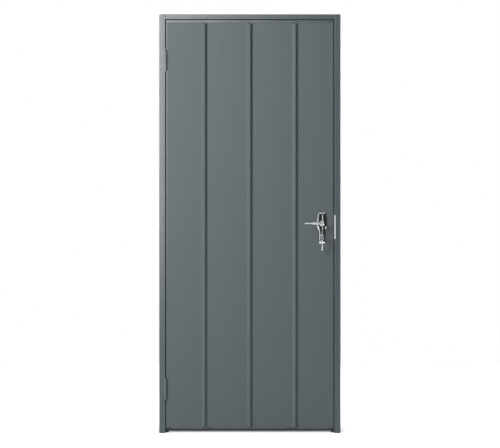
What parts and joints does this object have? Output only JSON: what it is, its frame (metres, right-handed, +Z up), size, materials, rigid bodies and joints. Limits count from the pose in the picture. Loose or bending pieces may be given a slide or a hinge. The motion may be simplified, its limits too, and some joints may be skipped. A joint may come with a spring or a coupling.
{
  "type": "steel door with frame",
  "caption": "Hinged grey steel door leaf with upright pressed ribs in a folded sheet frame, with lever handles, sash lock, strike, threshold and a hanging key.",
  "frame": {"origin": "On the floor, at mid width, in the middle of the leaf's thickness.", "axes": "+X to the lock side as seen from the side the leaf opens towards, +Y through the wall away from that side, +Z up."},
  "size_m": [0.88, 0.159, 2.032],
  "materials": {
    "grey_paint": "satin blue-grey stoved paint on steel sheet",
    "zinc_sheet": "galvanised sheet",
    "mild_steel": "plain steel",
    "zinc_plate": "bright zinc plate",
    "nickel_plate": "nickel plate",
    "chrome_plate": "polished chrome plate",
    "brass_sheet": "plain brass sheet",
    "spring_wire": "bright steel wire"
  },
  "bodies": {
    "frame": {"hinge_jamb": "grey_paint", "lock_jamb": "grey_paint", "frame_head": "grey_paint", "threshold": "grey_paint", "strike_plate": "zinc_plate", "strike_screws": "zinc_plate", "strike_box": "zinc_sheet", "lower_hinge_frame_leaf": "grey_paint", "upper_hinge_frame_leaf": "grey_paint", "lower_hinge_pin": "grey_paint", "upper_hinge_pin": "grey_paint", "jamb_hinge_backings": "mild_steel", "frame_hinge_screws": "grey_paint"},
    "leaf": {"front_skin": "grey_paint", "back_skin": "grey_paint", "top_channel": "grey_paint", "bottom_channel": "grey_paint", "hinge_stile": "zinc_sheet", "lock_stile": "zinc_sheet", "left_stiffener": "zinc_sheet", "right_stiffener": "zinc_sheet", "leaf_hinge_backings": "mild_steel", "lower_hinge_door_leaf": "grey_paint", "upper_hinge_door_leaf": "grey_paint", "door_hinge_screws": "grey_paint", "lock_case": "mild_steel", "case_cover": "mild_steel", "case_rivets": "mild_steel", "case_posts": "mild_steel", "forend": "zinc_plate", "forend_screws": "zinc_plate", "forend_nut_plates": "mild_steel", "front_handle_plate": "chrome_plate", "back_handle_plate": "chrome_plate", "front_plate_screws": "chrome_plate", "back_plate_screws": "chrome_plate", "latch_spring": "spring_wire"},
    "handle": {"front_lever": "chrome_plate", "back_lever": "chrome_plate", "spindle": "mild_steel", "lever_grub_screws": "spring_wire", "follower": "mild_steel"},
    "latch": {"latch_bolt": "nickel_plate"},
    "bolt": {"dead_bolt": "nickel_plate"},
    "first_lever": {"first_lever": "brass_sheet", "first_lever_spring": "spring_wire"},
    "second_lever": {"second_lever": "brass_sheet", "second_lever_spring": "spring_wire"},
    "key": {"key_wire": "spring_wire", "hanging_key": "nickel_plate"}
  },
  "joints": [
    {"name": "leaf_swing", "type": "hinge", "parent": "frame", "child": "leaf", "pos_m": [-0.40825, -0.024, 0], "axis": [0, 0, -1], "range_deg": [0, 170]},
    {"name": "handle_turn", "type": "hinge", "parent": "leaf", "child": "handle", "pos_m": [0.3495, 0, 1.017], "axis": [0, -1, 0], "range_deg": [0, 40], "stiffness_Nm_per_rad": 0.6, "springref_deg": -28.65},
    {"name": "latch_slide", "type": "slide", "parent": "leaf", "child": "latch", "axis": [-1, 0, 0], "range_m": [0, 0.011], "deforming": ["latch_spring"]},
    {"name": "bolt_slide", "type": "slide", "parent": "leaf", "child": "bolt", "axis": [1, 0, 0], "range_m": [0, 0.014]},
    {"name": "first_lever_lift", "type": "hinge", "parent": "leaf", "child": "first_lever", "pos_m": [0.3405, 0, 1], "axis": [0, -1, 0], "range_deg": [-3, 3], "stiffness_Nm_per_rad": 0.05, "deforming": ["first_lever_spring"]},
    {"name": "second_lever_lift", "type": "hinge", "parent": "leaf", "child": "second_lever", "pos_m": [0.3405, 0, 1], "axis": [0, -1, 0], "range_deg": [-3, 3], "stiffness_Nm_per_rad": 0.05, "deforming": ["second_lever_spring"]},
    {"name": "key_swing", "type": "hinge", "parent": "leaf", "child": "key", "pos_m": [0.3495, 0, 1.017], "axis": [0, -1, 0], "range_deg": [-20, 20]}
  ],
  "couplings": [
    {"joint": "latch_slide", "follows": "handle_turn", "m_per_rad": 0.01575}
  ]
}
